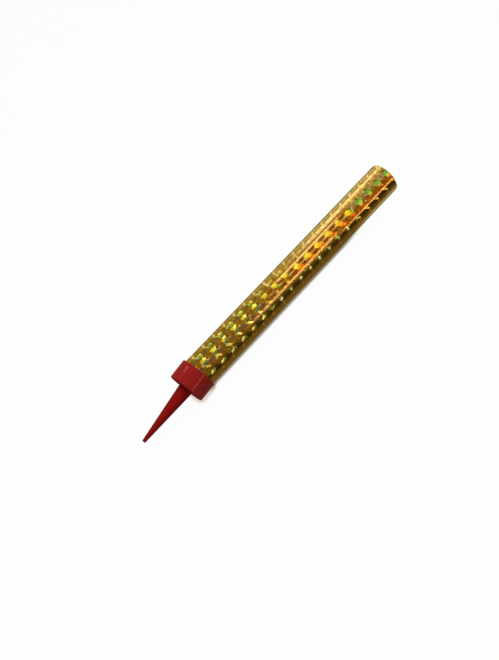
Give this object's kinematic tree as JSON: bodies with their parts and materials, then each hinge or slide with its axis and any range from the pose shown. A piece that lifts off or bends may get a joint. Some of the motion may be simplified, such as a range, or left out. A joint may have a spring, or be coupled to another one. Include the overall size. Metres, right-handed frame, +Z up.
{
  "type": "cake fountain",
  "caption": "Foil-wrapped paper tube fountain candle pushed into a red plastic cup with a spike that holds it upright in a cake.",
  "frame": {"origin": "centre of the cup's flat underside, where the spike leaves it and where the cake's surface lies in use", "axes": "+Z up along the spike and cup, towards the fire end; the tube leans towards +X; -Y faces the picture's camera"},
  "size_m": [0.0263, 0.0164, 0.1566],
  "materials": {
    "red_plastic": "gloss",
    "gold_foil": "polished",
    "rolled_paper": "matte",
    "pressed_clay": "matte",
    "pressed_charge": "matte",
    "starter_mix": "matte",
    "choke_paper": "matte",
    "fuse_yarn": "matte"
  },
  "bodies": {
    "spike_cup": {"spike_cup": "red_plastic"},
    "charged_tube": {"foil_wrap": "gold_foil", "casing_tube": "rolled_paper", "base_plug": "pressed_clay", "fountain_charge": "pressed_charge", "starter_layer": "starter_mix", "choke_ring": "choke_paper", "fuse": "fuse_yarn"}
  },
  "joints": [
    {"name": "tube_pull", "type": "slide", "parent": "spike_cup", "child": "charged_tube", "axis": [0.0872, 0, 0.9962], "range_m": [0, 0.02]}
  ]
}
